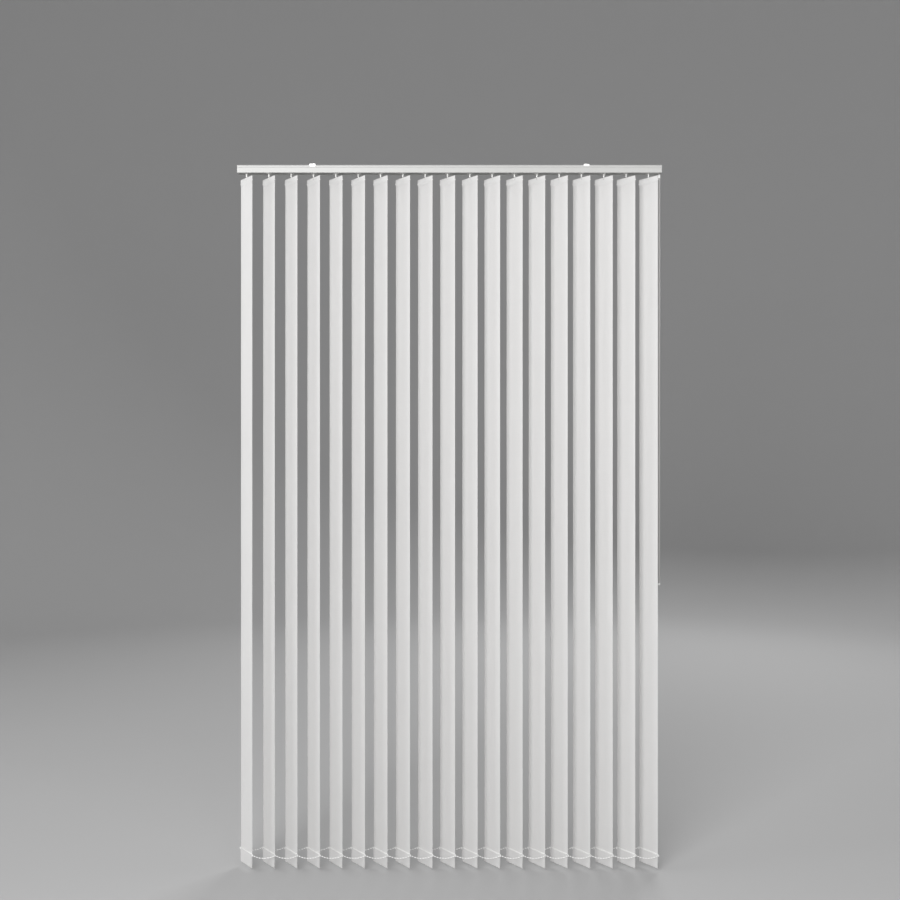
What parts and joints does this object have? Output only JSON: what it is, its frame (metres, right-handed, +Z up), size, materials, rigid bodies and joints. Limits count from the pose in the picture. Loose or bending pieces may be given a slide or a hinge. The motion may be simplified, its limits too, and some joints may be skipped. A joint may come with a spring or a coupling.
{
  "type": "vertical blind",
  "caption": "Vertical blind with a slotted ceiling headrail, turning fabric vanes on sliding carriers, weighted hems, bead chains and a tilt wand",
  "frame": {"origin": "midway between the two ceiling screws, on the ceiling plane, at the tops of the two brackets", "axes": "+X along the headrail to the right as seen from the room, +Y away from the room towards the window, +Z up"},
  "size_m": [1.4979, 0.0862, 2.474],
  "materials": {
    "rail_coat": "satin light grey-white powder coat",
    "clip_steel": "zinc-plated spring steel",
    "cap_plastic": "matt white moulded plastic",
    "carrier_plastic": "milky moulded acetal",
    "rod_aluminium": "mill-finish drawn aluminium",
    "wand_grey": "light grey glass-fibre rod",
    "wand_tip": "white moulded plastic",
    "vane_fabric": "fine plain-woven polyester, stiffened",
    "bead_plastic": "white moulded beads on a thin cord"
  },
  "bodies": {
    "fixed_rail": {"headrail": "rail_coat", "bracket_left": "clip_steel", "bracket_right": "clip_steel", "end_cap_left": "cap_plastic", "end_cap_right": "cap_plastic", "end_cap_screws": "clip_steel", "carrier_01": "carrier_plastic"},
    "lead_carriage": {"lead_carrier": "carrier_plastic"},
    "carriage_02": {"carrier_02": "carrier_plastic"},
    "carriage_03": {"carrier_03": "carrier_plastic"},
    "carriage_04": {"carrier_04": "carrier_plastic"},
    "carriage_05": {"carrier_05": "carrier_plastic"},
    "carriage_06": {"carrier_06": "carrier_plastic"},
    "carriage_07": {"carrier_07": "carrier_plastic"},
    "carriage_08": {"carrier_08": "carrier_plastic"},
    "carriage_09": {"carrier_09": "carrier_plastic"},
    "carriage_10": {"carrier_10": "carrier_plastic"},
    "carriage_11": {"carrier_11": "carrier_plastic"},
    "carriage_12": {"carrier_12": "carrier_plastic"},
    "carriage_13": {"carrier_13": "carrier_plastic"},
    "carriage_14": {"carrier_14": "carrier_plastic"},
    "carriage_15": {"carrier_15": "carrier_plastic"},
    "carriage_16": {"carrier_16": "carrier_plastic"},
    "carriage_17": {"carrier_17": "carrier_plastic"},
    "carriage_18": {"carrier_18": "carrier_plastic"},
    "turning_vane_01": {"vane_01": "vane_fabric"},
    "turning_vane_02": {"vane_02": "vane_fabric"},
    "turning_vane_03": {"vane_03": "vane_fabric"},
    "turning_vane_04": {"vane_04": "vane_fabric"},
    "turning_vane_05": {"vane_05": "vane_fabric"},
    "turning_vane_06": {"vane_06": "vane_fabric"},
    "turning_vane_07": {"vane_07": "vane_fabric"},
    "turning_vane_08": {"vane_08": "vane_fabric"},
    "turning_vane_09": {"vane_09": "vane_fabric"},
    "turning_vane_10": {"vane_10": "vane_fabric"},
    "turning_vane_11": {"vane_11": "vane_fabric"},
    "turning_vane_12": {"vane_12": "vane_fabric"},
    "turning_vane_13": {"vane_13": "vane_fabric"},
    "turning_vane_14": {"vane_14": "vane_fabric"},
    "turning_vane_15": {"vane_15": "vane_fabric"},
    "turning_vane_16": {"vane_16": "vane_fabric"},
    "turning_vane_17": {"vane_17": "vane_fabric"},
    "turning_vane_18": {"vane_18": "vane_fabric"},
    "turning_vane_19": {"vane_19": "vane_fabric"},
    "turning_rod": {"tilt_rod": "rod_aluminium"},
    "turning_rod_gear": {"rod_gear": "carrier_plastic"},
    "turning_shaft": {"wand_shaft": "carrier_plastic"},
    "wand_swivel": {"wand_socket": "wand_tip"},
    "wand": {"wand_rod": "wand_grey", "wand_cap": "wand_tip"},
    "front_chain": {"chain_front": "bead_plastic"},
    "back_chain": {"chain_back": "bead_plastic"}
  },
  "joints": [
    {"name": "traverse", "type": "slide", "parent": "fixed_rail", "child": "lead_carriage", "axis": [-1, 0, 0], "range_m": [0, 1.08], "deforming": ["chain_front", "chain_back"]},
    {"name": "carrier_02_slide", "type": "slide", "parent": "fixed_rail", "child": "carriage_02", "axis": [-1, 0, 0], "range_m": [0, 0.06]},
    {"name": "carrier_03_slide", "type": "slide", "parent": "fixed_rail", "child": "carriage_03", "axis": [-1, 0, 0], "range_m": [0, 0.12]},
    {"name": "carrier_04_slide", "type": "slide", "parent": "fixed_rail", "child": "carriage_04", "axis": [-1, 0, 0], "range_m": [0, 0.18]},
    {"name": "carrier_05_slide", "type": "slide", "parent": "fixed_rail", "child": "carriage_05", "axis": [-1, 0, 0], "range_m": [0, 0.24]},
    {"name": "carrier_06_slide", "type": "slide", "parent": "fixed_rail", "child": "carriage_06", "axis": [-1, 0, 0], "range_m": [0, 0.3]},
    {"name": "carrier_07_slide", "type": "slide", "parent": "fixed_rail", "child": "carriage_07", "axis": [-1, 0, 0], "range_m": [0, 0.36]},
    {"name": "carrier_08_slide", "type": "slide", "parent": "fixed_rail", "child": "carriage_08", "axis": [-1, 0, 0], "range_m": [0, 0.42]},
    {"name": "carrier_09_slide", "type": "slide", "parent": "fixed_rail", "child": "carriage_09", "axis": [-1, 0, 0], "range_m": [0, 0.48]},
    {"name": "carrier_10_slide", "type": "slide", "parent": "fixed_rail", "child": "carriage_10", "axis": [-1, 0, 0], "range_m": [0, 0.54]},
    {"name": "carrier_11_slide", "type": "slide", "parent": "fixed_rail", "child": "carriage_11", "axis": [-1, 0, 0], "range_m": [0, 0.6]},
    {"name": "carrier_12_slide", "type": "slide", "parent": "fixed_rail", "child": "carriage_12", "axis": [-1, 0, 0], "range_m": [0, 0.66]},
    {"name": "carrier_13_slide", "type": "slide", "parent": "fixed_rail", "child": "carriage_13", "axis": [-1, 0, 0], "range_m": [0, 0.72]},
    {"name": "carrier_14_slide", "type": "slide", "parent": "fixed_rail", "child": "carriage_14", "axis": [-1, 0, 0], "range_m": [0, 0.78]},
    {"name": "carrier_15_slide", "type": "slide", "parent": "fixed_rail", "child": "carriage_15", "axis": [-1, 0, 0], "range_m": [0, 0.84]},
    {"name": "carrier_16_slide", "type": "slide", "parent": "fixed_rail", "child": "carriage_16", "axis": [-1, 0, 0], "range_m": [0, 0.9]},
    {"name": "carrier_17_slide", "type": "slide", "parent": "fixed_rail", "child": "carriage_17", "axis": [-1, 0, 0], "range_m": [0, 0.96]},
    {"name": "carrier_18_slide", "type": "slide", "parent": "fixed_rail", "child": "carriage_18", "axis": [-1, 0, 0], "range_m": [0, 1.02]},
    {"name": "vane_tilt", "type": "hinge", "parent": "fixed_rail", "child": "turning_vane_01", "pos_m": [-0.718, 0, -0.0175], "axis": [0, 0, 1], "range_deg": [-113.9, 42.1]},
    {"name": "vane_02_tilt", "type": "hinge", "parent": "carriage_02", "child": "turning_vane_02", "pos_m": [-0.639, 0, -0.0175], "axis": [0, 0, 1], "range_deg": [-113.9, 42.1]},
    {"name": "vane_03_tilt", "type": "hinge", "parent": "carriage_03", "child": "turning_vane_03", "pos_m": [-0.56, 0, -0.0175], "axis": [0, 0, 1], "range_deg": [-113.9, 42.1]},
    {"name": "vane_04_tilt", "type": "hinge", "parent": "carriage_04", "child": "turning_vane_04", "pos_m": [-0.481, 0, -0.0175], "axis": [0, 0, 1], "range_deg": [-113.9, 42.1]},
    {"name": "vane_05_tilt", "type": "hinge", "parent": "carriage_05", "child": "turning_vane_05", "pos_m": [-0.402, 0, -0.0175], "axis": [0, 0, 1], "range_deg": [-113.9, 42.1]},
    {"name": "vane_06_tilt", "type": "hinge", "parent": "carriage_06", "child": "turning_vane_06", "pos_m": [-0.323, 0, -0.0175], "axis": [0, 0, 1], "range_deg": [-113.9, 42.1]},
    {"name": "vane_07_tilt", "type": "hinge", "parent": "carriage_07", "child": "turning_vane_07", "pos_m": [-0.244, 0, -0.0175], "axis": [0, 0, 1], "range_deg": [-113.9, 42.1]},
    {"name": "vane_08_tilt", "type": "hinge", "parent": "carriage_08", "child": "turning_vane_08", "pos_m": [-0.165, 0, -0.0175], "axis": [0, 0, 1], "range_deg": [-113.9, 42.1]},
    {"name": "vane_09_tilt", "type": "hinge", "parent": "carriage_09", "child": "turning_vane_09", "pos_m": [-0.086, 0, -0.0175], "axis": [0, 0, 1], "range_deg": [-113.9, 42.1]},
    {"name": "vane_10_tilt", "type": "hinge", "parent": "carriage_10", "child": "turning_vane_10", "pos_m": [-0.007, 0, -0.0175], "axis": [0, 0, 1], "range_deg": [-113.9, 42.1]},
    {"name": "vane_11_tilt", "type": "hinge", "parent": "carriage_11", "child": "turning_vane_11", "pos_m": [0.072, 0, -0.0175], "axis": [0, 0, 1], "range_deg": [-113.9, 42.1]},
    {"name": "vane_12_tilt", "type": "hinge", "parent": "carriage_12", "child": "turning_vane_12", "pos_m": [0.151, 0, -0.0175], "axis": [0, 0, 1], "range_deg": [-113.9, 42.1]},
    {"name": "vane_13_tilt", "type": "hinge", "parent": "carriage_13", "child": "turning_vane_13", "pos_m": [0.23, 0, -0.0175], "axis": [0, 0, 1], "range_deg": [-113.9, 42.1]},
    {"name": "vane_14_tilt", "type": "hinge", "parent": "carriage_14", "child": "turning_vane_14", "pos_m": [0.309, 0, -0.0175], "axis": [0, 0, 1], "range_deg": [-113.9, 42.1]},
    {"name": "vane_15_tilt", "type": "hinge", "parent": "carriage_15", "child": "turning_vane_15", "pos_m": [0.388, 0, -0.0175], "axis": [0, 0, 1], "range_deg": [-113.9, 42.1]},
    {"name": "vane_16_tilt", "type": "hinge", "parent": "carriage_16", "child": "turning_vane_16", "pos_m": [0.467, 0, -0.0175], "axis": [0, 0, 1], "range_deg": [-113.9, 42.1]},
    {"name": "vane_17_tilt", "type": "hinge", "parent": "carriage_17", "child": "turning_vane_17", "pos_m": [0.546, 0, -0.0175], "axis": [0, 0, 1], "range_deg": [-113.9, 42.1]},
    {"name": "vane_18_tilt", "type": "hinge", "parent": "carriage_18", "child": "turning_vane_18", "pos_m": [0.625, 0, -0.0175], "axis": [0, 0, 1], "range_deg": [-113.9, 42.1]},
    {"name": "vane_19_tilt", "type": "hinge", "parent": "lead_carriage", "child": "turning_vane_19", "pos_m": [0.704, 0, -0.0175], "axis": [0, 0, 1], "range_deg": [-113.9, 42.1]},
    {"name": "tilt_rod_turn", "type": "hinge", "parent": "fixed_rail", "child": "turning_rod", "pos_m": [0, 0.0105, -0.0175], "axis": [1, 0, 0], "range_deg": [-911.2, 336.8]},
    {"name": "rod_gear_turn", "type": "hinge", "parent": "lead_carriage", "child": "turning_rod_gear", "pos_m": [0.7419, 0.0105, -0.0175], "axis": [1, 0, 0], "range_deg": [-911.2, 336.8]},
    {"name": "wand_shaft_turn", "type": "hinge", "parent": "lead_carriage", "child": "turning_shaft", "pos_m": [0.7419, 0, -0.0175], "axis": [0, 0, 1], "range_deg": [-1822.4, 673.6]},
    {"name": "wand_swing", "type": "hinge", "parent": "lead_carriage", "child": "wand_swivel", "pos_m": [0.7419, 0, -0.035], "axis": [0, -1, 0], "range_deg": [0, 45]},
    {"name": "wand_turn", "type": "hinge", "parent": "wand_swivel", "child": "wand", "pos_m": [0.7419, 0, -0.046], "axis": [0, 0, 1], "range_deg": [-1822.4, 673.6]},
    {"name": "chain_front_follow", "type": "hinge", "parent": "turning_vane_10", "child": "front_chain", "pos_m": [0.02185, -0.04071, -2.428], "axis": [0, 0, 1], "range_deg": [-42.1, 113.9]},
    {"name": "chain_back_follow", "type": "hinge", "parent": "turning_vane_10", "child": "back_chain", "pos_m": [-0.03667, 0.04013, -2.428], "axis": [0, 0, 1], "range_deg": [-42.1, 113.9]}
  ],
  "couplings": [
    {"joint": "carrier_02_slide", "follows": "traverse", "ratio": 0.055556},
    {"joint": "carrier_03_slide", "follows": "traverse", "ratio": 0.11111},
    {"joint": "carrier_04_slide", "follows": "traverse", "ratio": 0.16667},
    {"joint": "carrier_05_slide", "follows": "traverse", "ratio": 0.22222},
    {"joint": "carrier_06_slide", "follows": "traverse", "ratio": 0.27778},
    {"joint": "carrier_07_slide", "follows": "traverse", "ratio": 0.33333},
    {"joint": "carrier_08_slide", "follows": "traverse", "ratio": 0.38889},
    {"joint": "carrier_09_slide", "follows": "traverse", "ratio": 0.44444},
    {"joint": "carrier_10_slide", "follows": "traverse", "ratio": 0.5},
    {"joint": "carrier_11_slide", "follows": "traverse", "ratio": 0.55556},
    {"joint": "carrier_12_slide", "follows": "traverse", "ratio": 0.61111},
    {"joint": "carrier_13_slide", "follows": "traverse", "ratio": 0.66667},
    {"joint": "carrier_14_slide", "follows": "traverse", "ratio": 0.72222},
    {"joint": "carrier_15_slide", "follows": "traverse", "ratio": 0.77778},
    {"joint": "carrier_16_slide", "follows": "traverse", "ratio": 0.83333},
    {"joint": "carrier_17_slide", "follows": "traverse", "ratio": 0.88889},
    {"joint": "carrier_18_slide", "follows": "traverse", "ratio": 0.94444},
    {"joint": "vane_02_tilt", "follows": "vane_tilt", "ratio": 1},
    {"joint": "vane_03_tilt", "follows": "vane_tilt", "ratio": 1},
    {"joint": "vane_04_tilt", "follows": "vane_tilt", "ratio": 1},
    {"joint": "vane_05_tilt", "follows": "vane_tilt", "ratio": 1},
    {"joint": "vane_06_tilt", "follows": "vane_tilt", "ratio": 1},
    {"joint": "vane_07_tilt", "follows": "vane_tilt", "ratio": 1},
    {"joint": "vane_08_tilt", "follows": "vane_tilt", "ratio": 1},
    {"joint": "vane_09_tilt", "follows": "vane_tilt", "ratio": 1},
    {"joint": "vane_10_tilt", "follows": "vane_tilt", "ratio": 1},
    {"joint": "vane_11_tilt", "follows": "vane_tilt", "ratio": 1},
    {"joint": "vane_12_tilt", "follows": "vane_tilt", "ratio": 1},
    {"joint": "vane_13_tilt", "follows": "vane_tilt", "ratio": 1},
    {"joint": "vane_14_tilt", "follows": "vane_tilt", "ratio": 1},
    {"joint": "vane_15_tilt", "follows": "vane_tilt", "ratio": 1},
    {"joint": "vane_16_tilt", "follows": "vane_tilt", "ratio": 1},
    {"joint": "vane_17_tilt", "follows": "vane_tilt", "ratio": 1},
    {"joint": "vane_18_tilt", "follows": "vane_tilt", "ratio": 1},
    {"joint": "vane_19_tilt", "follows": "vane_tilt", "ratio": 1},
    {"joint": "tilt_rod_turn", "follows": "vane_tilt", "ratio": 8},
    {"joint": "rod_gear_turn", "follows": "vane_tilt", "ratio": 8},
    {"joint": "wand_shaft_turn", "follows": "vane_tilt", "ratio": 16},
    {"joint": "wand_turn", "follows": "vane_tilt", "ratio": 16},
    {"joint": "chain_front_follow", "follows": "vane_tilt", "ratio": -1},
    {"joint": "chain_back_follow", "follows": "vane_tilt", "ratio": -1}
  ]
}
